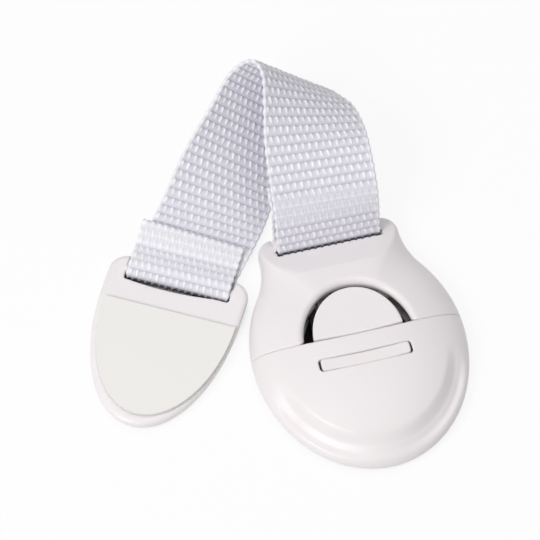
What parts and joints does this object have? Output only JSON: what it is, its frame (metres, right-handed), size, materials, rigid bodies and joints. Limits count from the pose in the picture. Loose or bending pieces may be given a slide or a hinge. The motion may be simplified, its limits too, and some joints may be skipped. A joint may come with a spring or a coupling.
{
  "type": "cabinet safety lock",
  "caption": "Child-safety strap lock: pear-shaped stick-on latch with press button, woven strap folded over, and shield-shaped stick-on anchor.",
  "frame": {"origin": "on the lock's release paper, on the lock's centre line, 5 mm behind the parting line", "axes": "+Y along the lock towards its strap, +Z out of its front, +X across it to the right"},
  "size_m": [0.0876, 0.1003, 0.0315],
  "materials": {
    "shell_plastic": "satin moulded warm white",
    "webbing": "white plain-woven nylon webbing",
    "foam_tape": "white closed-cell foam tape",
    "release_paper": "cream coated release paper, unprinted",
    "pin_steel": "plain drawn wire"
  },
  "bodies": {
    "glued_half": {"base_plate": "shell_plastic", "pocket_cover": "shell_plastic", "lock_foam_pad": "foam_tape", "lock_release_liner": "release_paper"},
    "latch": {"latch_front_shell": "shell_plastic", "latch_back_plate": "shell_plastic", "button_pivot_pin": "pin_steel"},
    "button": {"release_button": "shell_plastic", "catch_spring": "shell_plastic"},
    "strap_near_lock": {"strap_lock_leg": "webbing"},
    "strap_near_anchor": {"strap_anchor_leg": "webbing"},
    "anchor": {"anchor_plate": "shell_plastic", "anchor_foam_pad": "foam_tape", "anchor_release_liner": "release_paper"}
  },
  "joints": [
    {"name": "latch_slide", "type": "slide", "parent": "glued_half", "child": "latch", "axis": [0, 1, 0], "range_m": [0, 0.022], "deforming": ["catch_spring"]},
    {"name": "button_press", "type": "hinge", "parent": "latch", "child": "button", "pos_m": [0, 0.021, 0.005], "axis": [1, 0, 0], "range_deg": [0, 5], "stiffness_Nm_per_rad": 0.6, "deforming": ["catch_spring"]},
    {"name": "lock_loop_swing", "type": "hinge", "parent": "latch", "child": "strap_near_lock", "pos_m": [0, 0.0355, 0.0049], "axis": [1, 0, 0], "range_deg": [-20, 30]},
    {"name": "strap_fold", "type": "hinge", "parent": "strap_near_lock", "child": "strap_near_anchor", "pos_m": [-0.0008, 0.0708, 0.021], "axis": [0.7048, -0.0806, -0.7048], "range_deg": [0, 35], "stiffness_Nm_per_rad": 0.05, "deforming": ["strap_lock_leg", "strap_anchor_leg"]},
    {"name": "anchor_loop_swing", "type": "hinge", "parent": "strap_near_anchor", "child": "anchor", "pos_m": [-0.03656, 0.03265, 0.0025], "axis": [0.866, -0.5, 0], "range_deg": [-60, 60]}
  ]
}
